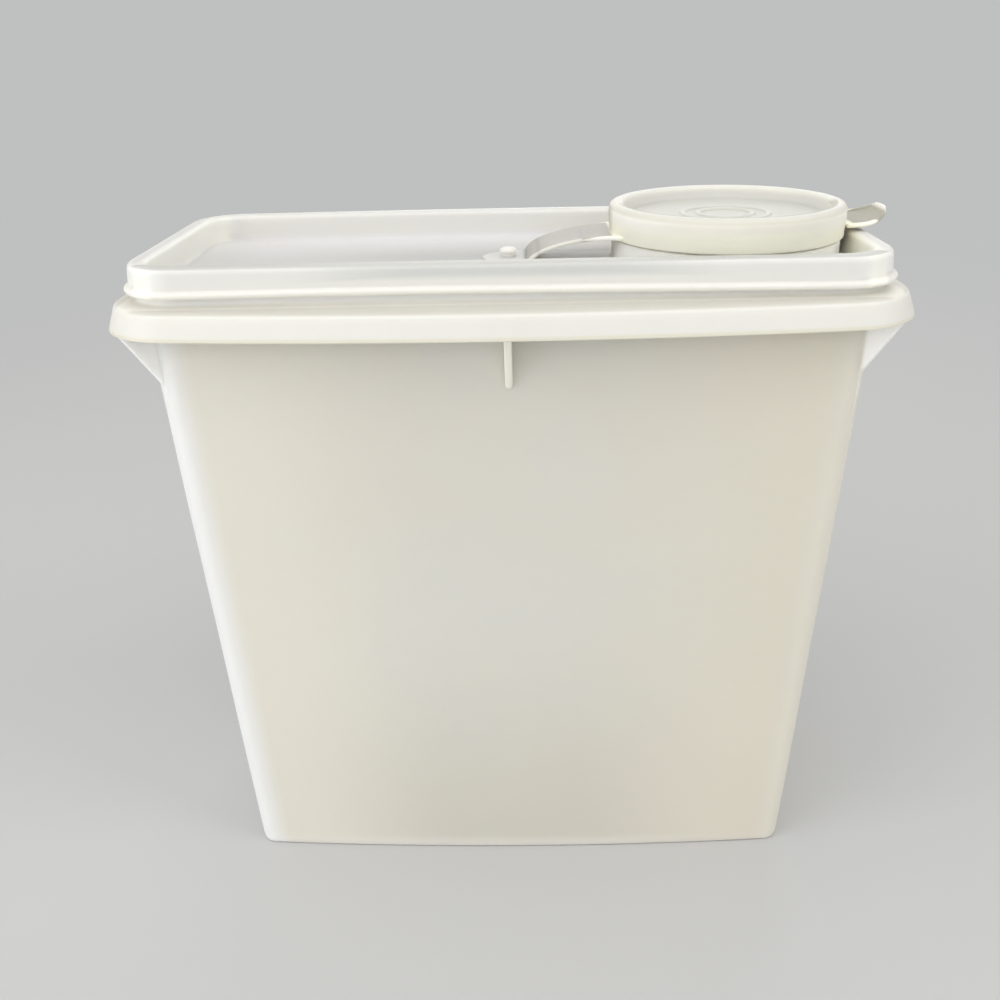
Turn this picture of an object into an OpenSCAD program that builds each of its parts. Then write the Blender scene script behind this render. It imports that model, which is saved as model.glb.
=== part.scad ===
// Cereal container: a tapered tub, a press-on lid with a sunk panel, and a flip cap on a flexible strap.
// Millimetres, +Z up. The origin is the middle of the face that the tub stands on.

/* [Tub] */
// Length of the base
base_w = 208.2; // [204:0.2:212]
// Depth of the base at its corners
base_d = 88.2; // [85:0.2:91]
// Corner radius of the base
base_r = 6; // [5.5:0.5:12]
// How far each long side bulges out at the base
base_bow = 3.5; // [0.5:0.1:4.5]
// How far the base's outer edge is rounded
base_edge = 1.2; // [0.8:0.1:2.4]
// Length of the tub at the lower edge of its rim
mouth_w = 233.2; // [231:0.2:235]
// Depth of the tub at the lower edge of its rim, at the corners
mouth_d = 97.2; // [95:0.2:98]
// Corner radius of the tub at its rim
mouth_r = 9; // [7:0.5:14]
// How far each long side bulges out at the rim
mouth_bow = 3; // [0.5:0.1:3.5]
// Wall thickness of the tub
tub_wall = 2; // [1.6:0.1:2.4]
// Thickness of the tub's floor over the foot recess
tub_floor = 1.6; // [1.2:0.1:2.4]
// Depth of the recess under the base
foot_depth = 0.8; // [0.4:0.1:1.2]

/* [Rim apron] */
// Height of the apron's lower edge
apron_z = 213.8; // [212:0.2:214.4]
// Length over the apron's lower edge
apron_w = 258; // [256:0.5:262]
// Depth over the apron's lower edge, at the corners
apron_d = 120.2; // [119:0.2:124]
// Corner radius of the apron's lower edge
apron_r = 22; // [19:0.5:25]
// How far the apron's long sides bulge out
apron_bow = 7.6; // [5:0.1:9]
// How far the apron draws in towards its top on each side
apron_draw = 2.6; // [1.5:0.1:3]
// Height of the ledge on top of the apron
ledge_z = 221.8; // [221:0.1:222]
// Thickness of the ribs under the apron
rib_t = 2.4; // [1.8:0.1:3]
// Height of the lower end of the rib in the middle of each long side
rib_z = 193.8; // [188:0.2:200]
// Height of the lower ends of the corner ribs
corner_rib_z = 195.4; // [190:0.2:202]

/* [Lid] */
// Length of the lid's top
lid_w = 242.4; // [242:0.1:243]
// Depth of the lid's top
lid_d = 104.6; // [104:0.1:105]
// Corner radius of the lid's top
lid_r = 17.7; // [17.2:0.1:18.2]
// Height of the lid's top
lid_z = 234; // [233.8:0.1:234.4]
// Width of the raised rim round the panel
lid_rim_w = 6; // [5.8:0.1:6.2]
// How far the panel lies below the rim's top
panel_drop = 10; // [9.6:0.1:10.2]
// Thickness of the lid's panel
panel_t = 1.4; // [1.2:0.1:1.6]
// Thickness of the two walls of the rim
lid_wall = 1.3; // [1.1:0.1:1.4]
// How far the gripping bead stands out at the lid's lower edge
bead_out = 2.2; // [1.4:0.1:2.4]
// Height of the lid's lower edge above the tub's ledge
lid_foot_gap = 2.8; // [1.5:0.1:3.2]

/* [Pour neck and cap] */
// Place of the neck and cap along the lid
spout_x = 75; // [74.6:0.1:75]
// Bore radius of the pour neck
neck_bore_r = 36; // [34:0.2:36]
// Height of the neck's top edge
neck_z = 239.5; // [239:0.1:239.8]
// Outer radius of the flip cap at its lower edge
cap_r = 39.7; // [39.6:0.1:39.8]
// Height of the cap's top ring
cap_z = 243; // [242.6:0.1:243.4]
// Width of the cap's top ring
cap_ring_w = 5.6; // [5.2:0.1:5.8]
// How far the cap's top face is sunk below its ring
cap_sink = 4.4; // [4:0.1:4.6]
// Running gap between the cap's skirt and the neck
cap_gap = 0.5; // [0.4:0.05:0.6]
// Thickness of the cap's skirt and top
cap_wall = 1.5; // [1.3:0.1:1.6]
// Length of the pull tab beyond the cap
tab_out = 14.1; // [10:0.1:14.1]
// Width of the pull tab
tab_w = 27; // [22:0.5:29]

/* [Strap] */
// Width of the strap
strap_w = 26; // [20:0.5:28]
// Width of the strap where it joins the cap
strap_root_w = 31; // [26:0.5:33]
// Thickness of the strap
strap_t = 1.4; // [1.1:0.1:1.6]
// Gap at each of the strap's two bends
bend_gap = 0.35; // [0.3:0.05:0.5]
// Radius of the stud's head, which the strap's eye turns under
stud_r = 3; // [2.8:0.1:3.4]

/* [Hidden] */
$fn = 96;

tub_colour = [0.93, 0.92, 0.88];
lid_colour = [0.92, 0.92, 0.89];
cap_colour = [0.93, 0.91, 0.84];
strap_colour = [0.85, 0.84, 0.79];

corner_steps = 7;
side_steps = 12;

panel_z = lid_z - panel_drop;
lid_bottom_z = panel_z - panel_t;
corner_x = lid_w / 2 - lid_r;
corner_y = lid_d / 2 - lid_r;
rim_inner_r = lid_r - lid_rim_w;
channel_in = rim_inner_r + lid_wall;
channel_out = lid_r - lid_wall;
channel_z = lid_z - lid_wall;
lip_gap = 0.5;
lip_top = channel_z - 0.9;

// Half-lengths, half-depths, corner radii and bulges of the tub at a height, drawn in by an inset
function mix(a, b, t) = a + (b - a) * t;
function tub_at(z, inset) =
    let (t = z / apron_z)
    [
        mix(base_w, mouth_w, t) / 2 - inset,
        mix(base_d, mouth_d, t) / 2 - inset,
        mix(base_r, mouth_r, t) - inset * 0.8,
        mix(base_bow, mouth_bow, t),
        z
    ];
function apron_at(z, inset) =
    let (draw = inset + apron_draw * (z - apron_z) / (ledge_z - apron_z))
    [apron_w / 2 - draw, apron_d / 2 - draw, apron_r - draw * 0.6, apron_bow, z];
function lip_at(z, rho) = [corner_x + rho, corner_y + rho, rho, 0.01, z];

// One closed outline of the tub: rounded corners, with both long sides bulging as a parabola
function bulge(p, s) = [p[0], p[1] * (1 + s[3] / s[1] * (1 - pow(p[0] / s[0], 2))), s[4]];
function quarter(cx, cy, r, start) =
    [for (i = [0:corner_steps]) let (a = start + 90 * i / corner_steps) [cx + r * cos(a), cy + r * sin(a)]];
function run(x, y) = [for (i = [1:side_steps - 1]) [x * (1 - 2 * i / side_steps), y]];
function outline(s) =
    let (x = s[0] - s[2], y = s[1] - s[2])
    [
        for (p = concat(
            quarter(x, y, s[2], 0),
            run(x, s[1]),
            quarter(-x, y, s[2], 90),
            quarter(-x, -y, s[2], 180),
            run(-x, -s[1]),
            quarter(x, -y, s[2], 270)
        )) bulge(p, s)
    ];

// A closed skin over a stack of such outlines, with a flat face on the first and the last
module skin(sections) {
    rings = [for (s = sections) outline(s)];
    n = len(rings[0]);
    last = len(rings) - 1;
    sides = [
        for (k = [0:last - 1], i = [0:n - 1])
            let (j = (i + 1) % n)
            each [[k * n + i, k * n + n + i, k * n + n + j], [k * n + i, k * n + n + j, k * n + j]]
    ];
    first_face = [for (i = [0:n - 1]) i];
    last_face = [for (i = [n - 1:-1:0]) last * n + i];
    polyhedron(
        points = [for (r = rings) each r],
        faces = concat([first_face], sides, [last_face]),
        convexity = 8
    );
}

// A profile drawn as [distance from the corner's centre, height], taken round the lid's rounded rectangle
module round_the_lid() {
    for (corner = [[1, 1, 0], [-1, 1, 90], [-1, -1, 180], [1, -1, 270]])
        translate([corner[0] * corner_x, corner[1] * corner_y, 0])
            rotate(corner[2])
                rotate_extrude(angle = 90) children();
    for (end = [0, 180])
        rotate(end)
            translate([corner_x, corner_y, 0])
                rotate([90, 0, 0])
                    linear_extrude(height = 2 * corner_y) children();
    for (side = [90, 270])
        rotate(side)
            translate([corner_y, corner_x, 0])
                rotate([90, 0, 0])
                    linear_extrude(height = 2 * corner_x) children();
}

module rounded_plate(half_x, half_y, r) {
    square([2 * half_x, 2 * (half_y - r)], center = true);
    square([2 * (half_x - r), 2 * half_y], center = true);
    for (sx = [-1, 1], sy = [-1, 1])
        translate([sx * (half_x - r), sy * (half_y - r)]) circle(r);
}

module tub_shell() {
    lip_in = channel_in + lip_gap;
    lip_out = channel_out - lip_gap;
    under_ledge = ledge_z - tub_wall;
    floor_z = foot_depth + tub_floor;
    skin([
        tub_at(foot_depth, 6),
        tub_at(0, 5.2),
        tub_at(0, base_edge),
        tub_at(base_edge * 0.3, base_edge * 0.3),
        tub_at(base_edge, 0),
        tub_at(apron_z, 0),
        [corner_x + lip_out - 0.8, corner_y + lip_out - 1, lip_out - 0.8, 2.2, apron_z + 3.4],
        [corner_x + lip_out, corner_y + lip_out, lip_out, 1, under_ledge],
        apron_at(under_ledge, tub_wall),
        apron_at(apron_z, tub_wall),
        apron_at(apron_z - 0.3, tub_wall / 2),
        apron_at(apron_z + 0.3, 0),
        apron_at(ledge_z - 0.9, 0),
        apron_at(ledge_z - 0.2, 0.5),
        apron_at(ledge_z, 1.4),
        lip_at(ledge_z, lip_out),
        lip_at(lip_top - 0.6, lip_out),
        lip_at(lip_top, lip_out - 0.5),
        lip_at(lip_top, lip_in + 0.5),
        lip_at(lip_top - 0.6, lip_in),
        lip_at(ledge_z + 1.2, lip_in),
        [corner_x + lip_in - 0.4, corner_y + lip_in - 0.6, lip_in - 0.4, 1.4, ledge_z - 3.2],
        tub_at(apron_z, tub_wall),
        tub_at(floor_z + 3.4, tub_wall),
        tub_at(floor_z + 1.2, tub_wall + 0.6),
        tub_at(floor_z + 0.3, tub_wall + 1.8),
        tub_at(floor_z, tub_wall + 3.4)
    ]);
}

// How far a section's rounded corner lies beyond another's, along the diagonal
corner_share = 1 - sqrt(0.5);
function corner_reach(s, from) = (s[0] - from[0] - corner_share * (s[2] - from[2])) * sqrt(2);

// A rib under the apron, drawn as [reach, height] from the wall outwards, standing in a vertical plane
module rib(foot_z, wall_foot, wall_head, apron_foot, apron_head) {
    rotate([90, 0, 0])
        linear_extrude(height = rib_t, center = true)
            polygon([
                [wall_foot, foot_z],
                [apron_foot, apron_z + 0.4],
                [apron_head, ledge_z - tub_wall / 2],
                [wall_head, ledge_z - tub_wall / 2]
            ]);
}

module tub() {
    seat = 0.8;
    middle = tub_at(rib_z, seat);
    foot = tub_at(corner_rib_z, seat);
    head = tub_at(apron_z, seat);
    outer = apron_at(apron_z, tub_wall - seat);
    edge = apron_at(apron_z, 0.4);
    upper = apron_at(ledge_z - tub_wall / 2, tub_wall - seat);
    corner_in = corner_share * foot[2];
    color(tub_colour)
        union() {
            tub_shell();
            for (turn = [90, 270])
                rotate(turn)
                    rib(
                        rib_z,
                        middle[1] + middle[3],
                        head[1] + head[3],
                        outer[1] + outer[3],
                        upper[1] + upper[3]
                    );
            for (sx = [-1, 1], sy = [-1, 1])
                translate([sx * (foot[0] - corner_in), sy * (foot[1] - corner_in), 0])
                    rotate(atan2(sy, sx))
                        rib(
                            corner_rib_z,
                            0,
                            corner_reach(head, foot),
                            corner_reach(edge, foot),
                            corner_reach(upper, foot)
                        );
        }
}

// The lid's rim: an inverted channel over the tub's lip, with a bead at its outer lower edge
module lid_rim() {
    bead_r = lid_r + bead_out;
    foot_z = ledge_z + lid_foot_gap;
    bead_z = foot_z + 1.3;
    step_z = foot_z + 2.8;
    round_the_lid()
        polygon([
            [rim_inner_r, lid_bottom_z],
            [channel_in, lid_bottom_z],
            [channel_in, channel_z],
            [channel_out, channel_z],
            [channel_out, foot_z],
            [bead_r - 0.7, foot_z],
            [bead_r - 0.1, foot_z + 0.5],
            [bead_r, bead_z],
            [bead_r - 0.2, step_z - 0.8],
            [bead_r - 0.7, step_z - 0.3],
            [lid_r + 0.5, step_z],
            [lid_r + 0.6, step_z + 0.8],
            [lid_r, lid_z - 1.8],
            [lid_r - 0.25, lid_z - 0.9],
            [lid_r - 0.9, lid_z - 0.25],
            [lid_r - 1.8, lid_z],
            [rim_inner_r + 1.6, lid_z],
            [rim_inner_r + 0.75, lid_z - 0.25],
            [rim_inner_r + 0.2, lid_z - 0.75],
            [rim_inner_r, lid_z - 1.6]
        ]);
}

module neck_wall() {
    neck_r = neck_bore_r + cap_wall;
    collar_z = lid_z - 2.4;
    rotate_extrude()
        polygon([
            [neck_bore_r, lid_bottom_z],
            [neck_r + 2, lid_bottom_z],
            [neck_r + 2, panel_z],
            [neck_r + 1.3, panel_z + 0.9],
            [neck_r + 1.3, collar_z - 0.5],
            [neck_r + 0.9, collar_z],
            [neck_r, collar_z + 0.2],
            [neck_r, neck_z - 0.5],
            [neck_r - 0.4, neck_z],
            [neck_bore_r + 0.4, neck_z],
            [neck_bore_r, neck_z - 0.4]
        ]);
}

module stud() {
    post_r = stud_r - 0.7;
    head_z = panel_z + 3.2;
    rotate_extrude()
        polygon([
            [0, panel_z - panel_t / 2],
            [post_r, panel_z - panel_t / 2],
            [post_r, head_z - 0.7],
            [stud_r, head_z],
            [stud_r, head_z + 0.5],
            [stud_r * 0.8, head_z + 1.1],
            [stud_r * 0.45, head_z + 1.4],
            [0, head_z + 1.5]
        ]);
}

module lid() {
    plate_r = rim_inner_r + 0.4;
    color(lid_colour)
        union() {
            lid_rim();
            difference() {
                translate([0, 0, lid_bottom_z])
                    linear_extrude(height = panel_t)
                        rounded_plate(corner_x + plate_r, corner_y + plate_r, plate_r);
                translate([spout_x, 0, lid_bottom_z - 1]) cylinder(h = panel_t + 2, r = neck_bore_r);
            }
            translate([spout_x, 0, 0]) neck_wall();
            stud();
        }
}

// The strap's upper side from the eye to the cap, as a curve of one Bezier piece in the XZ plane
strap_curve = [[6, panel_z + 1.5], [7.5, lid_z - 4.5], [18, lid_z - 0.4], [36, lid_z + 0.2]];
// Where the strap bends as the cap goes over, as shares of that curve
bends = [0.1, 0.55];
curve_steps = 8;

function bezier(c, t) =
    pow(1 - t, 3) * c[0] + 3 * t * pow(1 - t, 2) * c[1] + 3 * t * t * (1 - t) * c[2] + pow(t, 3) * c[3];
function bezier_slope(c, t) =
    let (d = 3 * (pow(1 - t, 2) * (c[1] - c[0]) + 2 * t * (1 - t) * (c[2] - c[1]) + t * t * (c[3] - c[2])))
    d / norm(d);
function bezier_speed(c, t) =
    norm(3 * (pow(1 - t, 2) * (c[1] - c[0]) + 2 * t * (1 - t) * (c[2] - c[1]) + t * t * (c[3] - c[2])));
function below(t) =
    let (d = bezier_slope(strap_curve, t))
    bezier(strap_curve, t) + strap_t * [d[1], -d[0]];
function after_bend(k) = bends[k] + bend_gap / 2 / bezier_speed(strap_curve, bends[k]);
function before_bend(k) = bends[k] - bend_gap / 2 / bezier_speed(strap_curve, bends[k]);
function band(from, to) = concat(
    [for (i = [0:curve_steps]) bezier(strap_curve, mix(from, to, i / curve_steps))],
    [for (i = [curve_steps:-1:0]) below(mix(from, to, i / curve_steps))]
);

module strap_side(points) {
    translate([0, strap_w / 2, 0])
        rotate([90, 0, 0])
            linear_extrude(height = strap_w) polygon(points);
}

module strap_arch() {
    color(strap_colour) strap_side(band(after_bend(0), before_bend(1)));
}

// The eye's outline: a round end of its own radius, with straight flanks out to the strap's width
module eye_plan() {
    eye_r = strap_w * 0.35;
    lean = 35;
    circle(eye_r);
    polygon([
        [-eye_r * sin(lean), -eye_r * cos(lean)],
        [strap_curve[0][0], -strap_w / 2],
        [strap_curve[0][0], strap_w / 2],
        [-eye_r * sin(lean), eye_r * cos(lean)]
    ]);
}

// The eye: a round-ended pad on the panel, with a hole for the stud and the foot of the strap
module strap_eye() {
    pad_t = 1.5;
    hole_r = stud_r - 0.4;
    foot_end = before_bend(0);
    color(strap_colour)
        union() {
            difference() {
                translate([0, 0, panel_z])
                    linear_extrude(height = pad_t) eye_plan();
                translate([0, 0, panel_z - 1]) cylinder(h = pad_t + 2, r = hole_r);
            }
            strap_side(concat(
                [[strap_curve[0][0] - 1.4, panel_z + pad_t]],
                band(0, foot_end),
                [[strap_curve[0][0] + strap_t * 0.9, panel_z], [strap_curve[0][0] - 1.4, panel_z]]
            ));
        }
}

// The last stretch of the strap, which widens into the cap's skirt
module strap_root() {
    start = after_bend(1);
    far_x = spout_x - cap_r + 6;
    top = [for (i = [0:curve_steps]) bezier(strap_curve, mix(start, 1, i / curve_steps))];
    underside = [for (i = [curve_steps:-1:0]) below(mix(start, 1, i / curve_steps))];
    translate([0, strap_root_w / 2, 0])
        rotate([90, 0, 0])
            linear_extrude(height = strap_root_w)
                polygon(concat(top, [[far_x, lid_z + 0.6], [far_x, lid_z - 1.2]], underside));
}

module strap_root_plan() {
    near_x = bezier(strap_curve, after_bend(1))[0] - 3;
    far_x = spout_x - cap_r + 6;
    steps = 8;
    half = [for (i = [0:steps]) [
        mix(near_x, far_x, i / steps),
        mix(strap_w, strap_root_w, pow(max(0, i / steps - 0.4) / 0.6, 2)) / 2
    ]];
    linear_extrude(height = lid_z + 10)
        polygon(concat(half, [for (i = [steps:-1:0]) [half[i][0], -half[i][1]]]));
}

// The cap, turned about its own axis: a skirt outside the neck, a plug wall inside it, and a sunk top with
// two plain rings. The skirt opens a little towards its edge, so that it swings clear of the neck.
module cap_turned() {
    skirt_in = neck_bore_r + cap_wall + cap_gap;
    skirt_z = lid_z - 1.8;
    ring_in = cap_r - cap_ring_w;
    top_z = cap_z - cap_sink;
    plug_z = top_z - 1.4;
    groove_z = cap_z - 1.6;
    rotate_extrude()
        polygon([
            [0, plug_z],
            [ring_in - 0.8, plug_z],
            [ring_in - 0.2, plug_z + 0.4],
            [ring_in + 0.5, neck_z],
            [ring_in + 1.1, groove_z],
            [skirt_in - 0.4, groove_z],
            [skirt_in, groove_z - 0.4],
            [skirt_in, skirt_z + 5.3],
            [skirt_in + 0.35, skirt_z + 0.4],
            [skirt_in + 0.5, skirt_z],
            [cap_r - 0.4, skirt_z],
            [cap_r, skirt_z + 0.6],
            [cap_r, skirt_z + 3],
            [cap_r - 0.2, cap_z - 1.4],
            [cap_r - 0.5, cap_z - 0.5],
            [cap_r - 1.3, cap_z],
            [ring_in + 0.9, cap_z],
            [ring_in + 0.2, cap_z - 0.3],
            [ring_in, cap_z - 1],
            [ring_in - 1, top_z + 0.9],
            [ring_in - 1.7, top_z + 0.2],
            [ring_in - 2.6, top_z],
            [15.4, top_z],
            [15, top_z + 0.6],
            [14, top_z + 0.6],
            [13.6, top_z],
            [10, top_z],
            [9.6, top_z + 0.6],
            [8.6, top_z + 0.6],
            [8.2, top_z],
            [0, top_z]
        ]);
}

// The pull tab: a broad tongue that curls up, with a raised border round a shallow dish
tab_curve = [[0, lid_z + 0.8], [8, lid_z + 1.2], [12, lid_z + 2.4], [tab_out, lid_z + 6.2]];
tab_t = 1.8;
tab_side = concat(
    [for (i = [0:curve_steps]) bezier(tab_curve, i / curve_steps)],
    [for (i = [curve_steps:-1:0])
        let (t = i / curve_steps, d = bezier_slope(tab_curve, t))
        bezier(tab_curve, t) + tab_t * [-d[1] * 0.6, d[0]]]
);

module tab_plan(inset) {
    tip_r = 10 - inset;
    half = tab_w / 2 - inset;
    far = tab_out - inset;
    translate([-4, -half]) square([far - tip_r + 4, 2 * half]);
    translate([-4, -(half - tip_r)]) square([far + 4, 2 * (half - tip_r)]);
    for (sy = [-1, 1])
        translate([far - tip_r, sy * (half - tip_r)]) circle(tip_r);
}

module tab_body(inset, raise) {
    intersection() {
        translate([0, 0, lid_z - 2]) linear_extrude(height = 12) tab_plan(inset);
        translate([0, tab_w / 2, raise])
            rotate([90, 0, 0])
                linear_extrude(height = tab_w)
                    polygon(concat([[-3, lid_z + 0.8]], tab_side, [[-3, lid_z + 0.8 + tab_t]]));
    }
}

module pull_tab() {
    difference() {
        tab_body(0, 0);
        intersection() {
            tab_body(1.8, tab_t - 0.7);
            translate([1, -tab_w, 0]) cube([tab_out, 2 * tab_w, 2 * lid_z]);
        }
    }
}

module pour_cap() {
    skirt_in = neck_bore_r + cap_wall + cap_gap;
    color(cap_colour)
        union() {
            translate([spout_x, 0, 0]) cap_turned();
            difference() {
                union() {
                    intersection() {
                        strap_root();
                        strap_root_plan();
                    }
                    translate([spout_x + cap_r, 0, 0]) pull_tab();
                }
                translate([spout_x, 0, 0]) cylinder(h = cap_z, r = skirt_in + 0.2);
            }
        }
}

tub();
lid();
strap_eye();
strap_arch();
pour_cap();
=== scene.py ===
import math

import bmesh
import bpy
import numpy as np
from mathutils import Matrix, Vector


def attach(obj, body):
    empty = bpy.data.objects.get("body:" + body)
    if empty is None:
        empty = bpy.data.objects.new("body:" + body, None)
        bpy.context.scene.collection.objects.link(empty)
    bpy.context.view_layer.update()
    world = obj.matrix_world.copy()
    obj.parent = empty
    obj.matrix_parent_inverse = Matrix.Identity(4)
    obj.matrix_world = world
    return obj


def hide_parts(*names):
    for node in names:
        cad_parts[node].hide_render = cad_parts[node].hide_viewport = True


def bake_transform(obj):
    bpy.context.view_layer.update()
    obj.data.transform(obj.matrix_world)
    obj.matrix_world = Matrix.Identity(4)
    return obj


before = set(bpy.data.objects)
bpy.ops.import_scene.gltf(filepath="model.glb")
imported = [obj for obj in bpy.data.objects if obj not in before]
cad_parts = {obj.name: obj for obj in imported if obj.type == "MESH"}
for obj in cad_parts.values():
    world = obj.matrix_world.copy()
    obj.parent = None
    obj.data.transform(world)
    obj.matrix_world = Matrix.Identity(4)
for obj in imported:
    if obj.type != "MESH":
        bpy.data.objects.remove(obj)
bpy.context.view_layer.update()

# Camera: a phone held a little above the lid, looking down at the long side.
# Its place and its slight turn and tilt were fitted to the edges of the object in the photograph.
mm = 0.001
camera_place = Vector((4.5, -366.1, 298.8)) * mm
camera_turn = math.radians(-1.51)
camera_down = math.radians(24.6)
camera_tilt = math.radians(-1.45)
camera_lens = 37.18

ahead = Vector((
    math.sin(camera_turn) * math.cos(camera_down),
    math.cos(camera_turn) * math.cos(camera_down),
    -math.sin(camera_down),
))
level = Vector((math.cos(camera_turn), -math.sin(camera_turn), 0))
upward = level.cross(ahead)
side = level * math.cos(camera_tilt) + upward * math.sin(camera_tilt)
over = upward * math.cos(camera_tilt) - level * math.sin(camera_tilt)
camera_data = bpy.data.cameras.new("camera")
camera_data.lens = camera_lens
camera_data.clip_start = 0.01
camera = bpy.data.objects.new("camera", camera_data)
camera.matrix_world = Matrix.Translation(camera_place) @ Matrix((side, over, -ahead)).transposed().to_4x4()
bpy.context.scene.collection.objects.link(camera)
bpy.context.scene.camera = camera
bpy.context.scene.view_settings.view_transform = "Standard"

# Floor: a sheet of pale matt paper on a table, wide enough to reach the horizon in every view.
# Near the object it takes the shadow, and further out it keeps one even tone.
floor_hex = "BFC0C0"
floor_radius = 6.0
floor_drop = 0.00005
floor_even_from = 0.45
floor_even_to = 1.3
fibres_per_metre = 900.0


def linear(hex_colour):
    """An sRGB hex colour as the linear red, green, blue and alpha that the nodes take."""
    channels = [int(hex_colour[i:i + 2], 16) / 255 for i in (0, 2, 4)]
    return [c / 12.92 if c <= 0.04045 else ((c + 0.055) / 1.055) ** 2.4 for c in channels] + [1.0]


def add_node(tree, kind, sockets=None, **settings):
    """Adds a node with its settings; a socket takes a value, or a link where the value is another socket."""
    made = tree.nodes.new(kind)
    for name, value in settings.items():
        setattr(made, name, value)
    for name, value in (sockets or {}).items():
        if isinstance(value, bpy.types.NodeSocket):
            tree.links.new(value, made.inputs[name])
        else:
            made.inputs[name].default_value = value
    return made


def new_material(name):
    """A material with an empty node tree."""
    material = bpy.data.materials.new(name)
    material.use_nodes = True
    material.node_tree.nodes.clear()
    return material, material.node_tree


def matt_paper():
    """Uncoated paper: dull all over, with a relief of fibres that is drawn coarser than the real one."""
    material, tree = new_material("matt_paper")
    place = add_node(tree, "ShaderNodeTexCoord")
    away = add_node(tree, "ShaderNodeVectorMath", {0: place.outputs["Object"]}, operation="LENGTH")
    even = add_node(tree, "ShaderNodeMapRange", {
        "Value": away.outputs["Value"], "From Min": floor_even_from, "From Max": floor_even_to,
    }, interpolation_type="SMOOTHSTEP")
    ray = add_node(tree, "ShaderNodeLightPath")
    seen = add_node(tree, "ShaderNodeMath", {
        0: even.outputs["Result"], 1: ray.outputs["Is Camera Ray"],
    }, operation="MULTIPLY")
    fibre = add_node(tree, "ShaderNodeTexNoise", {
        "Vector": place.outputs["Object"], "Scale": fibres_per_metre, "Detail": 4.0,
    })
    relief = add_node(tree, "ShaderNodeBump", {
        "Height": fibre.outputs["Fac"], "Strength": 0.06, "Distance": 0.0002,
    })
    paper = add_node(tree, "ShaderNodeBsdfPrincipled", {
        "Base Color": linear(floor_hex), "Roughness": 0.9, "Normal": relief.outputs["Normal"],
    })
    glow = add_node(tree, "ShaderNodeEmission", {"Color": linear(floor_hex), "Strength": 1.0})
    both = add_node(tree, "ShaderNodeMixShader", {
        0: seen.outputs["Value"], 1: paper.outputs["BSDF"], 2: glow.outputs["Emission"],
    })
    add_node(tree, "ShaderNodeOutputMaterial", {"Surface": both.outputs["Shader"]})
    return material


floor_mesh = bpy.data.meshes.new("floor")
floor_form = bmesh.new()
bmesh.ops.create_circle(floor_form, cap_ends=True, radius=floor_radius, segments=64)
floor_form.to_mesh(floor_mesh)
floor_form.free()
floor_mesh.materials.append(matt_paper())
floor = bpy.data.objects.new("floor", floor_mesh)
floor.location.z = -floor_drop
bpy.context.scene.collection.objects.link(floor)

# Light: a wide softbox overhead, one at each side, a broad fill behind the camera and one behind the tub.
# Each lamp is a panel in metres: name, place, what it looks at, width, height and power in watts.
lamps = [
    ("overhead_softbox", (-0.2, -0.35, 1.4), (0, 0, 0.15), 1.6, 1.2, 5.3),
    ("left_softbox", (-1.35, -0.75, 0.6), (0, 0, 0.12), 1.1, 1.2, 9.6),
    ("right_softbox", (1.15, -0.45, 1.05), (0, 0, 0.16), 0.8, 1.0, 5.6),
    ("front_fill", (-0.1, -1.75, 0.55), (0, 0, 0.1), 2.6, 1.5, 10.3),
    ("back_softbox", (0.2, 1.6, 0.8), (0, 0, 0.14), 1.2, 0.9, 5.0),
]
for lamp_name, lamp_place, lamp_aim, lamp_w, lamp_h, lamp_power in lamps:
    lamp_data = bpy.data.lights.new(lamp_name, "AREA")
    lamp_data.shape = "RECTANGLE"
    lamp_data.size = lamp_w
    lamp_data.size_y = lamp_h
    lamp_data.energy = lamp_power
    lamp = bpy.data.objects.new(lamp_name, lamp_data)
    lamp.location = lamp_place
    lamp.rotation_mode = "QUATERNION"
    lamp.rotation_quaternion = (Vector(lamp_aim) - Vector(lamp_place)).to_track_quat("-Z", "Y")
    bpy.context.scene.collection.objects.link(lamp)

studio_hex = "F7F5F3"
studio_strength = 0.66
world = bpy.data.worlds.new("studio")
world.use_nodes = True
world.node_tree.nodes.clear()
sky_ray = add_node(world.node_tree, "ShaderNodeLightPath")
sky_seen = add_node(world.node_tree, "ShaderNodeBackground", {"Color": linear(floor_hex), "Strength": 1.0})
sky_light = add_node(world.node_tree, "ShaderNodeBackground", {
    "Color": linear(studio_hex), "Strength": studio_strength,
})
sky_both = add_node(world.node_tree, "ShaderNodeMixShader", {
    0: sky_ray.outputs["Is Camera Ray"],
    1: sky_light.outputs["Background"],
    2: sky_seen.outputs["Background"],
})
add_node(world.node_tree, "ShaderNodeOutputWorld", {"Surface": sky_both.outputs["Shader"]})
bpy.context.scene.world = world

# Tub: one deep moulding in milky polyethylene, tapered to its foot ring, with a rim that turns out and
# down as an apron, a ledge and a lip above it that the lid grips, and thin ribs under the apron.
# Stations run from under the floor, up the outside, over the lip and down the inside. Each is a half length,
# half depth, corner radius, bulge of the long sides, height and rounding, all in millimetres.
base_station = np.array([104.1, 44.1, 6, 3.5, 0])
mouth_station = np.array([116.6, 48.6, 9, 3.0, 213.8])
tub_wall = 2.0
tub_floor = 2.4
tub_ring_under = 0.8
ribs_top = 220.8
apron_half = (129, 60.1)
apron_corner = 22
apron_bulge = 7.6
apron_foot = 213.8
apron_lean = 2.6
apron_height = 8
ledge_top = 221.8
lip_top = 231.8
lip_outer = 15.9
lip_inner = 13.5
lip_skeleton = (103.5, 34.6)
rounding_steps = 5
corner_steps = 18
long_steps = 44
short_steps = 14
ribs_foot = 193.8
corner_ribs_foot = 195.4
rib_thickness = 2.4


def body_station(z, inset, rounding=0.0):
    """The tapered wall at a height, set in from its outer face."""
    station = base_station + (mouth_station - base_station) * z / mouth_station[4]
    return [station[0] - inset, station[1] - inset, station[2] - 0.8 * inset, station[3], z, rounding]


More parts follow.
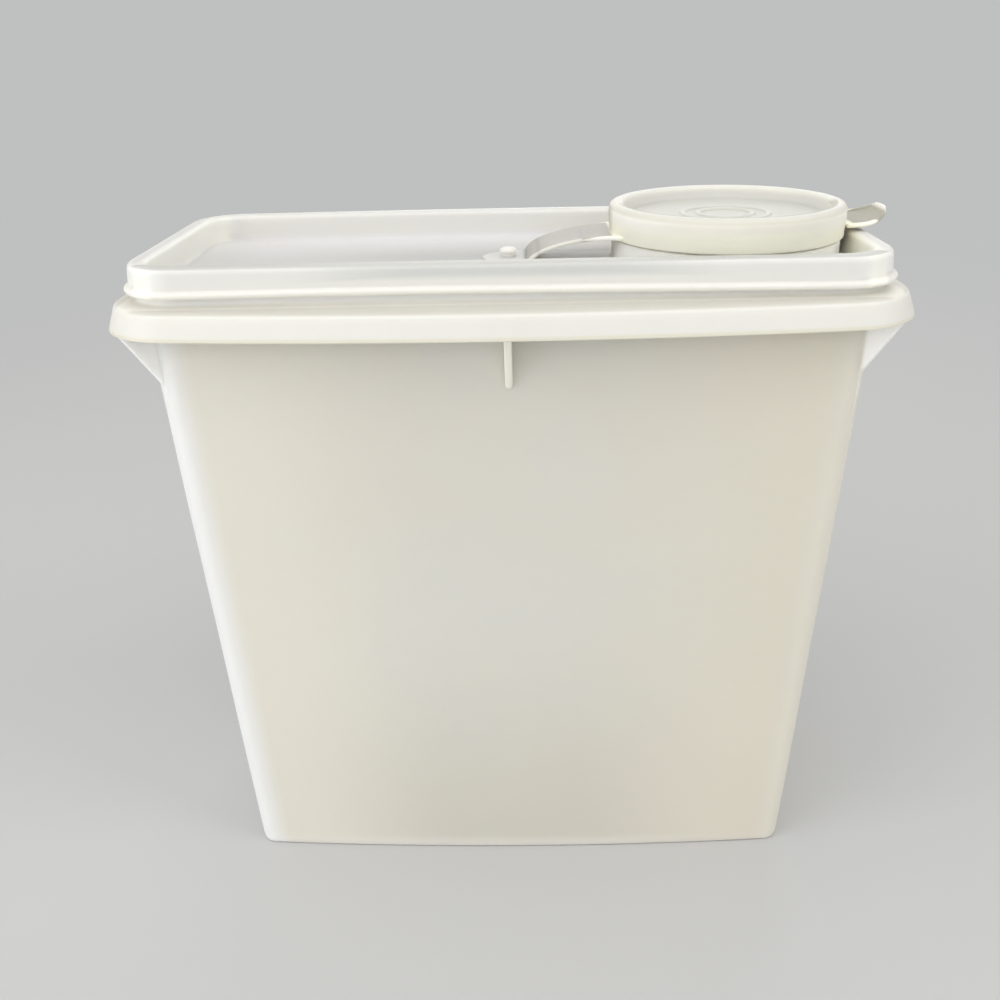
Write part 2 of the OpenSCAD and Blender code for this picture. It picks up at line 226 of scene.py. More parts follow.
def apron_station(z, inset, rounding=0.0):
    """The apron that hangs from the ledge and opens out a little downwards."""
    draw = inset + apron_lean * (z - apron_foot) / apron_height
    return [apron_half[0] - draw, apron_half[1] - draw, apron_corner - 0.6 * draw, apron_bulge, z, rounding]


def lip_station(z, rho, rounding=0.0):
    """The lip that the lid grips: everything on it is at one distance, rho, from the same inner rectangle."""
    return [lip_skeleton[0] + rho, lip_skeleton[1] + rho, rho, 0, z, rounding]


def rounded_path(stations, longest=9.0):
    """Rounds each station's corner to its last value, and divides what is longer than the longest step."""
    points = [np.array(s[:-1], float) for s in stations]
    path = [points[0]]
    for i in range(1, len(points) - 1):
        here, before, after = points[i], points[i - 1], points[i + 1]
        to_before = math.hypot(before[0] - here[0], before[-1] - here[-1])
        to_after = math.hypot(after[0] - here[0], after[-1] - here[-1])
        cut = min(stations[i][-1], 0.48 * to_before, 0.48 * to_after)
        if cut <= 0:
            path.append(here)
            continue
        a = here + (before - here) * cut / to_before
        b = here + (after - here) * cut / to_after
        for k in range(rounding_steps + 1):
            t = k / rounding_steps
            path.append(a * (1 - t) ** 2 + here * 2 * t * (1 - t) + b * t * t)
    path.append(points[-1])
    filled = [path[0]]
    for a, b in zip(path, path[1:]):
        pieces = max(1, math.ceil(math.hypot(b[0] - a[0], b[-1] - a[-1]) / longest))
        filled += [a + (b - a) * k / pieces for k in range(1, pieces + 1)]
    return filled


def outline(half_w, half_d, r, bow, z):
    """A closed ring of points: a rounded rectangle whose long sides bulge as a parabola."""
    x, y = half_w - r, half_d - r
    ring = []
    for sx, sy, start in ((1, 1, 0), (-1, 1, 90), (-1, -1, 180), (1, -1, 270)):
        for k in range(corner_steps + 1):
            a = math.radians(start + 90 * k / corner_steps)
            ring.append((sx * x + r * math.cos(a), sy * y + r * math.sin(a)))
        if start in (0, 180):
            ring += [(sx * x * (1 - 2 * k / long_steps), sy * half_d) for k in range(1, long_steps)]
        else:
            ring += [(sx * half_w, sy * y * (1 - 2 * k / short_steps)) for k in range(1, short_steps)]
    points = np.array(ring)
    points[:, 1] *= 1 + bow / half_d * (1 - (points[:, 0] / half_w) ** 2)
    return np.column_stack([points, np.full(len(points), z)]) * mm


def stacked_rings(name, rings):
    """A closed solid over rings of equal length, faced at both ends."""
    n = len(rings[0])
    faces = [
        (k * n + i, k * n + (i + 1) % n, (k + 1) * n + (i + 1) % n, (k + 1) * n + i)
        for k in range(len(rings) - 1) for i in range(n)
    ]
    faces.append(tuple(range(n - 1, -1, -1)))
    faces.append(tuple((len(rings) - 1) * n + i for i in range(n)))
    mesh = bpy.data.meshes.new(name)
    mesh.from_pydata([tuple(v) for v in np.concatenate(rings)], [], faces)
    mesh.update()
    form = bmesh.new()
    form.from_mesh(mesh)
    bmesh.ops.recalc_face_normals(form, faces=form.faces)
    form.to_mesh(mesh)
    form.free()
    made = bpy.data.objects.new(name, mesh)
    bpy.context.scene.collection.objects.link(made)
    return made


def combine(target, tool, operation):
    """Joins or cuts target with the solid tool, and removes the tool."""
    bpy.context.view_layer.update()
    step = target.modifiers.new("combine", "BOOLEAN")
    step.operation = operation
    step.solver = "EXACT"
    step.object = tool
    evaluated = target.evaluated_get(bpy.context.evaluated_depsgraph_get())
    result = bpy.data.meshes.new_from_object(evaluated)
    target.modifiers.clear()
    old = target.data
    target.data = result
    bpy.data.meshes.remove(old)
    bpy.data.objects.remove(tool)


crease_angle = 32.0
weld_distance = 0.000004


def finish_surface(piece, material):
    """Merges doubled points, shades smooth with creases kept, and gives the piece its material."""
    form = bmesh.new()
    form.from_mesh(piece.data)
    bmesh.ops.remove_doubles(form, verts=form.verts, dist=weld_distance)
    bmesh.ops.dissolve_degenerate(form, edges=form.edges, dist=weld_distance)
    bmesh.ops.recalc_face_normals(form, faces=form.faces)
    form.to_mesh(piece.data)
    form.free()
    piece.data.shade_smooth()
    piece.data.set_sharp_from_angle(angle=math.radians(crease_angle))
    piece.data.materials.clear()
    piece.data.materials.append(material)
    weigh = piece.modifiers.new("even_shading", "WEIGHTED_NORMAL")
    weigh.keep_sharp = True


def rib_solid(rows, place, turn):
    """A thin upright web from rows of reach, height and a 1 where that corner is eased at both faces."""
    rings = []
    for offset, ease in ((-0.5, 1.0), (-0.38, 0.3), (-0.2, 0.0), (0.2, 0.0), (0.38, 0.3), (0.5, 1.0)):
        rings.append([
            (reach - 0.4 * ease * free, offset * rib_thickness, height) for reach, height, free in rows
        ])
    spin = np.array([[math.cos(turn), math.sin(turn), 0], [-math.sin(turn), math.cos(turn), 0], [0, 0, 1]])
    points = np.array(rings, float) @ spin + np.array([place[0], place[1], 0])
    return stacked_rings("rib", list(points * mm))


tub_stations = [
    body_station(tub_ring_under, 6.4),
    body_station(tub_ring_under, 5.6, 0.4),
    body_station(0, 5.0, 0.4),
    body_station(0, 0.15, 1.1),
    body_station(3.5, 0, 1.0),
    body_station(apron_foot, 0, 4),
    [118.2, 49.4, 13.6, 2.2, 217.2, 2.0],
    [119.4, 50.5, 15.9, 1.0, 219.8, 1.2],
    apron_station(219.8, 2.0, 1.0),
    apron_station(apron_foot, 1.9, 0.6),
    apron_station(213.5, 0.1, 0.8),
    apron_station(ledge_top, 0.1, 1.5),
    lip_station(ledge_top, lip_outer, 2.2),
    lip_station(lip_top, lip_outer, 0.9),
    lip_station(lip_top, lip_inner, 0.9),
    lip_station(223.0, lip_inner, 2.0),
    [116.3, 47.5, 12.4, 1.4, 218.6, 2.0],
    body_station(apron_foot, tub_wall, 3.0),
    body_station(tub_floor, tub_wall, 3.4),
    body_station(tub_floor, tub_wall + 4.5),
]
tub_rings = [outline(*s) for s in rounded_path(tub_stations)]
floor_ring_sizes = (0.8, 0.55, 0.3, 0.08)
for share in floor_ring_sizes:
    inner_floor = np.array(tub_stations[-1][:4]) * share
    under_floor = np.array(tub_stations[0][:4]) * share
    tub_rings.append(outline(*inner_floor, tub_stations[-1][4]))
    tub_rings.insert(0, outline(*under_floor, tub_stations[0][4]))
tub = stacked_rings("tub_shell", tub_rings)

middle_rib = [
    (50.3, ribs_foot - 0.6, 0),
    (51.3, ribs_foot - 0.3, 1),
    (65.2, 213.3, 1),
    (66.4, 214.0, 0),
    (66.2, 214.8, 0),
    (64.2, ribs_top, 0),
    (50.6, ribs_top, 0),
]
for turn in (90, 270):
    combine(tub, rib_solid(middle_rib, (0, 0), math.radians(turn)), "UNION")
corner_rib_place = (112.4, 45.1)
corner_rib = [
    (-0.6, corner_ribs_foot - 0.9, 0),
    (0.9, corner_ribs_foot - 0.3, 1),
    (12.6, 213.1, 1),
    (13.1, 213.9, 0),
    (12.8, 215.0, 0),
    (10.4, ribs_top, 0),
    (0.3, ribs_top, 0),
]
for sx in (-1, 1):
    for sy in (-1, 1):
        corner = (sx * corner_rib_place[0], sy * corner_rib_place[1])
        combine(tub, rib_solid(corner_rib, corner, math.atan2(sy, sx)), "UNION")

# The long walls of an old polyethylene tub are never quite flat: they wander by a third of a millimetre,
# and not at all near the base and the apron.
wall_wander = 0.3
tub_points = np.array([v.co for v in tub.data.vertices])
between = np.clip(tub_points[:, 2] / 0.05, 0, 1) * np.clip((0.205 - tub_points[:, 2]) / 0.05, 0, 1)
wander = wall_wander * mm * between * (
    np.sin(tub_points[:, 0] * 41 + tub_points[:, 2] * 17 + 0.7)
    + 0.6 * np.sin(tub_points[:, 2] * 53 - tub_points[:, 0] * 23)
)
tub_points[:, 1] -= wander * np.clip(tub_points[:, 1] / 0.04, -1, 1)
tub.data.vertices.foreach_set("co", tub_points.astype(np.float32).ravel())


grain_mm = 0.9
scuff_mm = 1.6


def milky_polyethylene(name, thin_hex, layers, cloud_hex, cloud_mm, roughness=0.4, seed=0.0):
    """Moulded low-density polyethylene: milky and softly glossy, with flow clouds, a fine grain and scuffs.
    The light that scatters under its surface softens every edge. The grain is drawn coarser than the real
    one so that it shows. Each layer is a colour, and a function that gives the share of it at each place."""
    material, tree = new_material(name)
    place = add_node(tree, "ShaderNodeTexCoord")
    parts = add_node(tree, "ShaderNodeSeparateXYZ", {"Vector": place.outputs["Object"]})
    shifted = add_node(tree, "ShaderNodeMapping", {
        "Vector": place.outputs["Object"], "Location": (seed, seed * 0.7, 0),
    })
    clouds = add_node(tree, "ShaderNodeTexNoise", {
        "Vector": shifted.outputs["Vector"], "Scale": 1000 / cloud_mm, "Detail": 3.0, "Roughness": 0.5,
    })
    cloud_share = add_node(tree, "ShaderNodeMapRange", {
        "Value": clouds.outputs["Fac"], "From Min": 0.32, "From Max": 0.68,
    }, interpolation_type="SMOOTHSTEP")
    colour = linear(thin_hex)
    for layer_hex, share in [(cloud_hex, lambda tree, parts: cloud_share.outputs["Result"])] + layers:
        laid = add_node(tree, "ShaderNodeMix", {
            0: share(tree, parts), 6: colour, 7: linear(layer_hex),
        }, data_type="RGBA")
        colour = laid.outputs[2]
    grain = add_node(tree, "ShaderNodeTexNoise", {
        "Vector": shifted.outputs["Vector"], "Scale": 1000 / grain_mm, "Detail": 2.0,
    })
    stretched = add_node(tree, "ShaderNodeMapping", {
        "Vector": place.outputs["Object"], "Scale": (1.0, 1.0, 0.06), "Rotation": (0.3, 0.2, seed),
    })
    scuffs = add_node(tree, "ShaderNodeTexNoise", {
        "Vector": stretched.outputs["Vector"], "Scale": 1000 / scuff_mm, "Detail": 5.0, "Roughness": 0.7,
    })
    scuff_lines = add_node(tree, "ShaderNodeMapRange", {
        "Value": scuffs.outputs["Fac"], "From Min": 0.62, "From Max": 0.72,
    })
    rough = add_node(tree, "ShaderNodeMapRange", {
        "Value": scuffs.outputs["Fac"], "From Min": 0.3, "From Max": 0.75,
        "To Min": roughness - 0.05, "To Max": roughness + 0.1,
    })
    height = add_node(tree, "ShaderNodeMath", {
        0: grain.outputs["Fac"], 1: scuff_lines.outputs["Result"],
    }, operation="SUBTRACT")
    relief = add_node(tree, "ShaderNodeBump", {
        "Height": height.outputs["Value"], "Strength": 0.12, "Distance": 0.00012,
    })
    plastic = add_node(tree, "ShaderNodeBsdfPrincipled", {
        "Base Color": colour,
        "Roughness": rough.outputs["Result"],
        "IOR": 1.51,
        "Specular IOR Level": 0.35,
        "Subsurface Weight": 0.6,
        "Subsurface Radius": (1.0, 0.92, 0.78),
        "Subsurface Scale": 0.007,
        "Normal": relief.outputs["Normal"],
    })
    add_node(tree, "ShaderNodeOutputMaterial", {"Surface": plastic.outputs["BSDF"]})
    return material


def band(axis, start, end, most=1.0, least=0.0, both_ways=True):
    """The share goes from its least at start to its most at end, in millimetres along an axis.
    On X and Y it counts both ways from the middle, unless that is switched off."""
    def share(tree, parts):
        value = parts.outputs[axis]
        if axis != "Z" and both_ways:
            value = add_node(tree, "ShaderNodeMath", {0: value}, operation="ABSOLUTE").outputs["Value"]
        return add_node(tree, "ShaderNodeMapRange", {
            "Value": value, "From Min": start * mm, "From Max": end * mm, "To Min": least, "To Max": most,
        }, interpolation_type="SMOOTHSTEP").outputs["Result"]
    return share


def joined(operation, *shares):
    """Several shares as one: their least, their greatest, or their product."""
    def share(tree, parts):
        total = shares[0](tree, parts)
        for other in shares[1:]:
            both = add_node(tree, "ShaderNodeMath", {0: total, 1: other(tree, parts)}, operation=operation)
            total = both.outputs["Value"]
        return total
    return share


def toward_corners(start, end, most):
    """The share grows along the tub's tapered long side, from start to end as parts of its half length."""
    def share(tree, parts):
        half = add_node(tree, "ShaderNodeMath", {
            0: parts.outputs["Z"],
            1: (mouth_station[0] - base_station[0]) / mouth_station[4],
            2: base_station[0] * mm,
        }, operation="MULTIPLY_ADD")
        off = add_node(tree, "ShaderNodeMath", {0: parts.outputs["X"]}, operation="ABSOLUTE")
        along = add_node(tree, "ShaderNodeMath", {
            0: off.outputs["Value"], 1: half.outputs["Value"],
        }, operation="DIVIDE")
        return add_node(tree, "ShaderNodeMapRange", {
            "Value": along.outputs["Value"], "From Min": start, "From Max": end, "To Max": most,
        }, interpolation_type="SMOOTHSTEP").outputs["Result"]
    return share


# The wall is greyer where it is single. It is painted darker towards the base as shade, and warmer and darker
# towards the right below the apron as shade, and it carries a painted highlight along its foot. Painted light
# makes it warmer towards the ends and white up the corners, most of all at the left end, where light gathers
# in the turns. It is a little lighter on the apron and yellower along the apron's lower edge.
lit_end = band("X", 60, -60, most=1.0, least=0.3, both_ways=False)
tub_plastic = milky_polyethylene("milky_polyethylene_tub", "D8D6CC", [
    ("CAC6BA", band("Z", 105, 5, 0.72)),
    ("E5DFD0", toward_corners(0.2, 0.85, 0.85)),
    ("E6E1D8", band("Z", 7, 1.5, 0.6)),
    ("F1F1EE", joined("MULTIPLY", toward_corners(0.87, 0.97, 0.9), lit_end)),
    ("CDC5AC", joined("MINIMUM", band("X", 20, 100, 0.3, both_ways=False), band("Z", 213.0, 211.5))),
    ("DBDAD3", joined("MINIMUM", band("Z", 212.8, 214.6), band("Z", 221.8, 221.3))),
    # Painted shadow of the lid's bead on the ledge; under the lid, the inner ledge and the lip are painted
    # lighter, as light that comes through the lid.
    ("CBC9C1", joined("MINIMUM", band("Z", 221.1, 221.6), band("Z", 222.6, 222.2))),
    ("E4E1D8", joined("MINIMUM", band("Z", 221.0, 221.5), band("Y", 55.6, 53.2), band("X", 123.6, 121.4))),
    ("FFFEF6", joined("MINIMUM", band("Z", 221.9, 222.9), band("Y", 55.6, 53.6), band("X", 123.6, 121.8))),
    ("D0CAB2", joined("MINIMUM", band("Z", 213.0, 213.3, 0.6), band("Z", 215.4, 213.9))),
    # The ribs under the apron are painted lighter, as light that comes through the apron.
    ("FBFAF4", joined("MINIMUM", band("X", 111.5, 113.5), band("Y", 44.5, 46.5), band("Z", 213.4, 213.0))),
    ("F6F2E2", joined("MINIMUM", band("X", 2.2, 1.4), band("Y", 51.4, 52.2), band("Z", 213.4, 213.0))),
], "DBD4C8", cloud_mm=85)
finish_surface(tub, tub_plastic)
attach(tub, "tub")
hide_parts("tub")

# Lid: one softer moulding that presses over the tub's lip. Its rim is an upside-down channel with a bead
# at the lower edge, its panel is sunk ten millimetres, and a round neck to pour through stands near one end.
# A stud with a wider head is moulded in the middle of the panel, and holds the strap's eye.
lid_top = 234.0
lid_foot = 224.6
panel_top = 224.0
panel_under = 222.6
spout_x = 75.0
neck_bore = 36.0
neck_outer = 37.5
turned_steps = 144


def lid_station(rho, z, rounding=0.0):
    """The lid's section is given as the lip's is, by the distance rho from the same inner rectangle."""
    return [lip_skeleton[0] + rho, lip_skeleton[1] + rho, max(rho, 0.6), 0.0, z, rounding]


def turned(name, profile, centre_x, steps=turned_steps):
    """A solid of revolution about an upright axis, from [radius, height, rounding] rows.
    A radius of 0.01 stands for the axis itself, where a ring may not shrink to a point."""
    rings = []
    for radius, z in rounded_path(profile, longest=4.0):
        ring = []
        for k in range(steps):
            a = 2 * math.pi * k / steps
            ring.append((centre_x + radius * math.cos(a), radius * math.sin(a), z))
        rings.append(np.array(ring) * mm)
    return stacked_rings(name, rings)


lid_profile = [
    lid_station(-33.9, panel_under),
    lid_station(12.9, panel_under, 0.5),
    lid_station(13.0, 232.7, 0.7),
    lid_station(16.4, 232.7, 0.7),
    lid_station(16.4, lid_foot, 0.3),
    lid_station(19.4, lid_foot, 0.8),
    lid_station(19.95, 225.9, 0.9),
    lid_station(19.4, 226.8, 0.6),
    lid_station(18.3, 227.0, 0.5),
    lid_station(18.25, 228.4, 0.5),
    lid_station(17.7, lid_top, 2.0),
    lid_station(11.7, lid_top, 1.7),
    lid_station(11.4, panel_top, 1.8),
    lid_station(-33.9, panel_top),
]
lid = stacked_rings("lid_shell", [outline(*s) for s in rounded_path(lid_profile, longest=6.0)])
neck_profile = [
    [0.01, 222.8, 0],
    [40.1, 222.8, 0],
    [39.9, 224.0, 0.9],
    [38.8, 225.0, 0.9],
    [38.8, 231.6, 0.5],
    [neck_outer, 231.8, 0.3],
    [neck_outer, 239.5, 0.7],
    [0.01, 239.5, 0],
]
combine(lid, turned("neck", neck_profile, spout_x), "UNION")
bore_profile = [
    [0.01, 215.0, 0],
    [neck_bore, 215.0, 0],
    [neck_bore, 238.9, 0.3],
    [36.9, 240.5, 0],
    [0.01, 240.5, 0],
]
combine(lid, turned("bore", bore_profile, spout_x), "DIFFERENCE")
stud_profile = [
    [0.01, 223.4, 0],
    [2.3, 223.4, 0],
    [2.3, 226.5, 0.2],
    [3.0, 227.1, 0.3],
    [3.0, 227.9, 0.6],
    [1.9, 228.6, 0.7],
    [0.01, 228.7, 0],
]
combine(lid, turned("stud", stud_profile, 0.0, steps=48), "UNION")

# The pressed-on rim isn't quite level: its lower edge rides a little high left of the middle and low at
# the right, and its top follows by a third of that.
rim_spring = 0.5
lid_points = np.array([v.co for v in lid.data.vertices])
past_panel = np.maximum(np.abs(lid_points[:, 0]) - 113.5 * mm, np.abs(lid_points[:, 1]) - 44.6 * mm)
below_top = 0.3 + 0.7 * np.clip((lid_top * mm - lid_points[:, 2]) / (6 * mm), 0, 1)
sprung = np.clip(past_panel / (4 * mm), 0, 1) * below_top * np.cos((lid_points[:, 0] + 35 * mm) / (50 * mm))
lid_points[:, 2] += rim_spring * mm * sprung
lid.data.vertices.foreach_set("co", lid_points.astype(np.float32).ravel())


def round_spout(start, end, most=1.0):
    """The share grows from nothing at start to its most at end, as a distance from the neck's axis."""
    def share(tree, parts):
        along = add_node(tree, "ShaderNodeMath", {
            0: parts.outputs["X"], 1: spout_x * mm,
        }, operation="SUBTRACT")
        flat = add_node(tree, "ShaderNodeCombineXYZ", {"X": along.outputs["Value"], "Y": parts.outputs["Y"]})
        radius = add_node(tree, "ShaderNodeVectorMath", {0: flat.outputs["Vector"]}, operation="LENGTH")
        return add_node(tree, "ShaderNodeMapRange", {
            "Value": radius.outputs["Value"], "From Min": start * mm, "From Max": end * mm, "To Max": most,
        }, interpolation_type="SMOOTHSTEP").outputs["Result"]
    return share


# The panel is a single sheet that carries a painted shade towards the front rim, deeper towards the right,
# and the upper middle of the rim's outer faces is painted greyer as shade. Everything above the rim's top
# edge is painted greyer as shade, most of all along the front of the rim, and the rim's corners carry a
# painted highlight. The end walls of the tray, the neck and the panel under the strap are painted lighter, as
# light that comes through the plastic where shade falls.
lid_edge = joined("MAXIMUM", band("Z", 224.6, 227.5), band("X", 116.5, 118.0), band("Y", 47.5, 49.0))
under_strap_painted_light = joined("MINIMUM", band("X", 10, 15, both_ways=False), band("Y", 16, 12), band("Z", 226, 224.5))
lid_corner_highlight = joined("MINIMUM", band("X", 103, 113, 0.85), band("Y", 42, 46), band("Z", 227, 228.5))
lid_end_walls_painted_light = joined("MINIMUM", band("Z", 224.3, 225.5), band("X", 108.0, 112.0), band("X", 117.5, 115.5))
panel_front_painted_shade = joined("MINIMUM", band("Z", 224.6, 224.1), band("Y", 42, 6, 0.95, both_ways=False))
rim_middle_painted_shade = joined("MINIMUM", band("Z", 228.6, 231.5), band("X", 72, 25), band("Y", 51.5, 52.0))
rim_front_top_painted_shade = joined("MINIMUM", band("Z", 233.3, 233.8, 0.85), band("Y", -44.0, -45.5, both_ways=False))
lid_plastic = milky_polyethylene("milky_polyethylene_lid", "E7E5E2", [
    ("A9AAA6", joined("MULTIPLY", panel_front_painted_shade, band("X", -110, -10, most=1.0, least=0.5, both_ways=False))),
    ("F7F6F2", under_strap_painted_light),
    ("E4E2DA", lid_edge),
    ("CBCCC7", rim_middle_painted_shade),
    ("F6F4EC", lid_corner_highlight),
    ("FFFDEC", lid_end_walls_painted_light),
    ("FFFDF2", joined("MINIMUM", round_spout(41.0, 39.5), band("Z", 224.3, 225.0))),
    ("A5A5A0", rim_front_top_painted_shade),
    ("D6D6D0", band("Z", 233.3, 233.8, 0.5)),
], "E8E5E1", cloud_mm=45, roughness=0.46, seed=2.0)
finish_surface(lid, lid_plastic)
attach(lid, "lid")
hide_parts("lid")

# Flip cap: a soft turned cover that presses over the neck, with a ring round a sunk top, a plug wall inside
# the bore, a broad pull tab that curls up at the far side, and the wide end of the strap on the near side.
cap_profile = [
    [0.01, 237.2, 0],
    [34.2, 237.2, 0.6],
    [35.0, 239.5, 0.8],
    [35.5, 241.4, 0.4],
    [38.0, 241.4, 0.5],
    [38.0, 237.5, 0.5],
    [38.35, 232.6, 0.2],
    [38.5, 232.2, 0.2],
    [39.7, 232.2, 0.9],
    [39.7, 234.8, 1.2],
    [40.05, 237.6, 1.6],
    [40.0, 243.0, 2.6],
    [35.1, 243.0, 1.0],
    [33.8, 238.6, 1.6],
    [15.6, 238.6, 0.4],
    [15.2, 239.2, 0.4],
    [13.8, 239.2, 0.4],
    [13.4, 238.6, 0.4],
    [10.2, 238.6, 0.4],
    [9.8, 239.2, 0.4],
    [8.4, 239.2, 0.4],
    [8.0, 238.6, 0.4],
    [0.01, 238.6, 0],
]
cap = turned("cap_shell", cap_profile, spout_x, steps=192)
strap_curve = np.array([[6, 225.5], [7.5, 229.5], [18, 233.6], [36, 234.2]], float)
strap_cuts = [0.03, 0.325, 0.78]
strap_width = 26.0
strap_root_width = 31.0
root_from = 25.0
root_length = 12.0
strap_thickness = 1.4
strap_across = 18
strap_edge_steps = 8


def curve_point(curve, t):
    """A place on a curve that is bent by its two inner points."""
    return (
        curve[0] * (1 - t) ** 3 + curve[1] * 3 * t * (1 - t) ** 2
        + curve[2] * 3 * t * t * (1 - t) + curve[3] * t ** 3
    )


def curve_direction(curve, t):
    """The way the curve runs at that place."""
    steps = np.diff(curve, axis=0)
    slope = steps[0] * (1 - t) ** 2 + steps[1] * 2 * t * (1 - t) + steps[2] * t * t
    return slope / np.linalg.norm(slope)


def strap_section(x, z, dx, dz, width, thickness):
    """One ring across the strap: a flat band with round edges, whose upper side passes through x and z."""
    ring = []
    half = width / 2
    r = thickness / 2
    for k in range(strap_across + 1):
        ring.append((half - r - (2 * half - 2 * r) * k / strap_across, 0.0))
    for k in range(1, strap_edge_steps):
        a = math.pi * k / strap_edge_steps
        ring.append((-(half - r) - r * math.sin(a), -r + r * math.cos(a)))
    for k in range(strap_across + 1):
        ring.append((-(half - r) + (2 * half - 2 * r) * k / strap_across, -thickness))
    for k in range(1, strap_edge_steps):
        a = math.pi * k / strap_edge_steps
        ring.append(((half - r) + r * math.sin(a), -r - r * math.cos(a)))
    return np.array([(x - dz * down, y, z + dx * down) for y, down in ring]) * mm


def strap_rings(t_from, t_to, steps, width_at):
    """The rings of one stretch of the strap, from one part of its curve to another."""
    rings = []
    for k in range(steps + 1):
        t = t_from + (t_to - t_from) * k / steps
        x, z = curve_point(strap_curve, t)
        dx, dz = curve_direction(strap_curve, t)
        rings.append(strap_section(x, z, dx, dz, width_at(x), strap_thickness))
    return rings


def root_width(x):
    """The strap's width, which grows where it runs into the cap's skirt."""
    widening = min(1.0, max(0.0, (x - root_from) / root_length))
    return strap_width + (strap_root_width - strap_width) * widening ** 2


root_rings = strap_rings(strap_cuts[-1], 1.0, 20, root_width)
for far_x, far_z in ((38.0, 234.3), (40.5, 234.4)):
    root_rings.append(strap_section(far_x, far_z, 1.0, 0.03, strap_root_width + 0.6, 1.7))
root = stacked_rings("strap_root", root_rings)
inner_cut = [[0.01, 230.0, 0], [38.3, 230.0, 0], [38.3, 240.0, 0], [0.01, 240.0, 0]]
combine(root, turned("inner_cut", inner_cut, spout_x), "DIFFERENCE")
combine(cap, root, "UNION")

tab_start = spout_x + 38.7
tab_tip = 128.8
tab_half = 13.5
tab_tip_length = 11.0
tab_tip_power = 2.2
tab_middle = 0.7
tab_sheet = 0.35
tab_border = 0.75
tab_border_inset = 0.9
tab_border_width = 1.1
tab_edge_round = 0.8
tab_crowding = 1.8
tab_curve = np.array([[tab_start, 235.0], [122.0, 235.1], [126.5, 236.5], [tab_tip, 239.8]], float)
tab_rows = 40
tab_across = 28


def tab_half_width(x):
    """The tab's end is a full, slightly square round."""
    into_tip = max(0.0, x - (tab_tip - tab_tip_length)) / tab_tip_length
    return tab_half * max(0.0, 1 - into_tip ** tab_tip_power) ** (1 / tab_tip_power)


# The rows crowd towards the tip. A border stands up round the tab, and all its edges are round.
tab_rings = []
for k in range(tab_rows + 1):
    t = k / tab_rows
    t = 1 - (1 - t) ** tab_crowding
    x, z = curve_point(tab_curve, t)
    half = max(tab_half_width(x), 0.5)
    upper, lower = [], []
    for j in range(tab_across + 1):
        v = math.sin(math.pi * (j / tab_across - 0.5))
        from_edge = min(half * (1 - abs(v)), tab_tip - x)
        border = max(0.0, 1 - abs(from_edge - tab_border_inset) / tab_border_width)
        round_off = math.sqrt(min(1.0, max(0.0, from_edge / tab_edge_round)))
        upper.append((x, half * v, z + tab_middle + (tab_sheet + tab_border * border) * round_off))
        lower.append((x, half * v, z + tab_middle - tab_middle * round_off))
    tab_rings.append(np.array(upper + lower[-2:0:-1]) * mm)
combine(cap, stacked_rings("pull_tab", tab_rings), "UNION")

# The cap's skirt and its flanks are painted lighter, as light that comes through the plastic, and its
# shoulder and the top of its ring carry painted shade, as do the near side of the ring's inner edge and the
# crease where the ring turns down to the sunk top. The sunk top is greyer. The tab's dish and the strap's
# root are single thin sheets, and the root's edges carry painted light.
near_side = band("Y", 2, -8, both_ways=False)
cap_crease_painted_shade = joined(
    "MINIMUM", band("Z", 240.2, 239.0), round_spout(30.4, 32.4), round_spout(34.0, 33.4), near_side,
)
ring_inner_edge_painted_shade = joined(
    "MINIMUM", band("Z", 241.6, 242.2), round_spout(34.4, 35.2), round_spout(37.4, 36.2), near_side,
)
root_edge_painted_light = joined("MINIMUM", band("X", 37.5, 36.0), band("Y", 12.8, 13.3))
cap_plastic = milky_polyethylene("milky_polyethylene_cap", "E7E4D7", [
    ("FAF7EA", joined("MINIMUM", band("Y", 38, 20, 0.9), round_spout(37.5, 39.0), band("Z", 242.6, 241.5))),
    ("FFFAE0", joined("MINIMUM", band("Z", 240.5, 235.0), round_spout(38.0, 38.4))),
    ("CFCCBF", joined("MINIMUM", band("Z", 240.8, 241.8, 0.8), round_spout(37.6, 38.2))),
    ("D6D7CF", band("Z", 242.1, 242.8, 0.55)),
    ("A9A89D", ring_inner_edge_painted_shade),
    ("CBCBC2", joined("MINIMUM", band("Z", 239.8, 239.2), round_spout(34.4, 32.8))),
    ("A3A297", cap_crease_painted_shade),
    ("97968A", joined("MINIMUM", band("X", 115.0, 117.0), band("X", 128.0, 126.8), band("Y", 12.2, 11.2))),
    ("A6A59F", joined("MINIMUM", band("X", 36.0, 34.5), band("Y", 13.4, 12.6))),
    ("FBFAF2", root_edge_painted_light),
], "EBE6D6", cloud_mm=30, roughness=0.48, seed=5.0)
finish_surface(cap, cap_plastic)
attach(cap, "cap")
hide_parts("pour_cap")
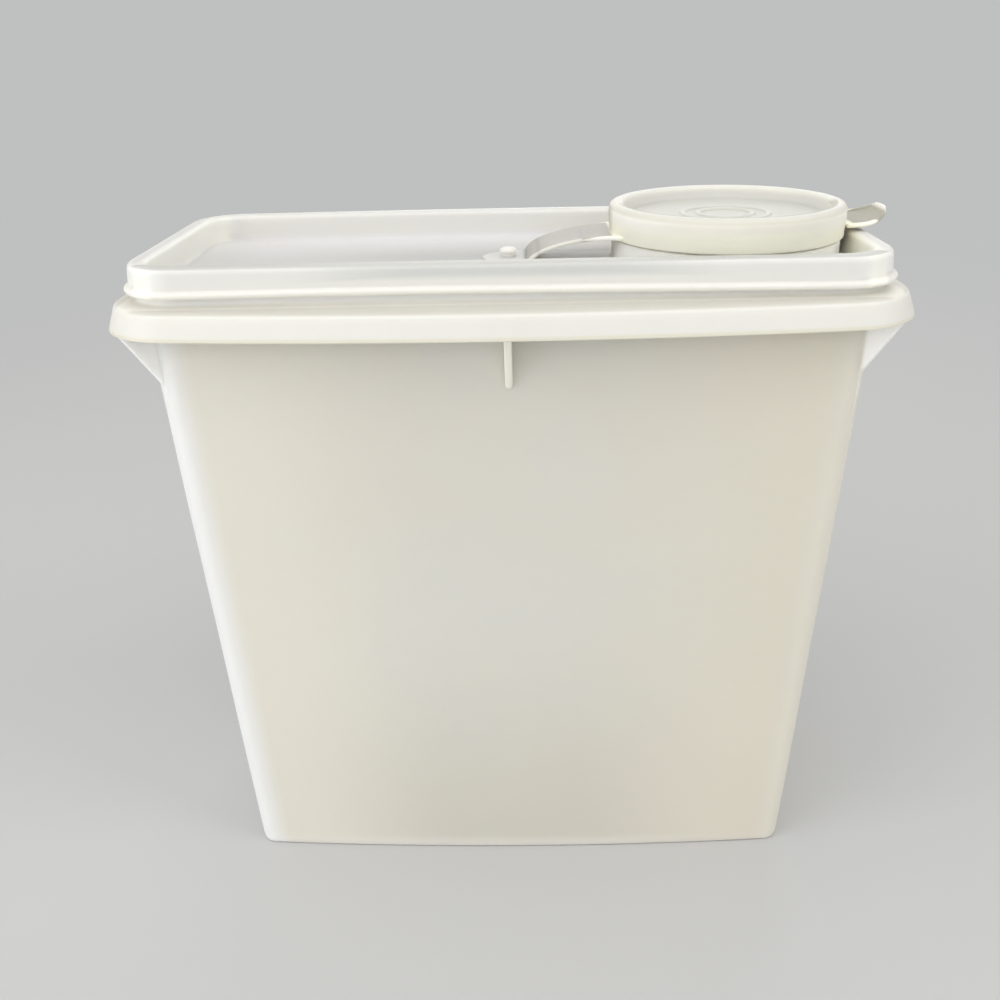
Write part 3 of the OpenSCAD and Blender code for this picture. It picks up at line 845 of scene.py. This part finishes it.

# Strap: the thin living hinge between the cap and the stud, moulded in one with the cap. It starts as a
# flat eye round the stud, rises steeply off the panel and arches over to the cap.
# Each stretch between two cuts crosses one bend.
eye_radius = 9.1
eye_thickness = 1.5
eye_hole = 2.6
eye_back = 5.2
eye_flare = 11.2
eye_flank = 7.5
eye_end = 6.6
eye_steps = 24


def eye_half_width(x):
    """The eye is round behind the stud, and its flanks open out to the strap's width."""
    if x < -eye_back:
        return math.sqrt(max(0.0, eye_radius ** 2 - x * x))
    share = min(1.0, max(0.0, (x + eye_back) / eye_flare))
    return eye_flank + (strap_width / 2 - eye_flank) * share


eye_rows = []
for k in range(eye_steps + 1):
    x = -eye_radius + 0.02 + (eye_end + eye_radius) * (1 - math.cos(math.pi * k / (2 * eye_steps)))
    half = max(eye_half_width(x), 0.3)
    eye_rows.append((x, half))
eye_top = panel_top + eye_thickness + 0.02
eye_rings = [strap_section(x, eye_top, 1.0, 0.0, 2 * half, eye_thickness) for x, half in eye_rows]
eye = stacked_rings("strap_eye_pad", eye_rings)
eye_cut = [[0.01, 223.0, 0], [eye_hole, 223.0, 0], [eye_hole, 226.0, 0], [0.01, 226.0, 0]]
combine(eye, turned("eye_cut", eye_cut, 0.0, steps=48), "DIFFERENCE")
foot_rings = [
    strap_section(5.0, 225.3, 0.75, 0.66, strap_width, eye_thickness),
    strap_section(5.6, 225.45, 0.5, 0.87, strap_width, eye_thickness),
] + strap_rings(0.0, strap_cuts[0], 2, root_width)
combine(eye, stacked_rings("strap_foot", foot_rings), "UNION")

# The strap is the thinnest sheet, so it looks the greyest, and its rounded edges carry painted light.
strap_plastic = milky_polyethylene("milky_polyethylene_strap", "A4A39D", [
    ("DAD8CF", band("Y", 11.9, 12.7)),
    ("C9C9C4", joined("MINIMUM", band("Z", 226.4, 225.6), band("X", 6.0, 4.6, both_ways=False))),
], "A9A79F", cloud_mm=25, roughness=0.48, seed=7.0)
finish_surface(eye, strap_plastic)
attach(eye, "lid")
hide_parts("strap_eye")

for k in range(2):
    stretch_rings = strap_rings(strap_cuts[k], strap_cuts[k + 1], 24, root_width)
    stretch = stacked_rings(f"strap_stretch_{k + 1}", stretch_rings)
    finish_surface(stretch, strap_plastic)
    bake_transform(stretch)
    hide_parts("strap_arch")
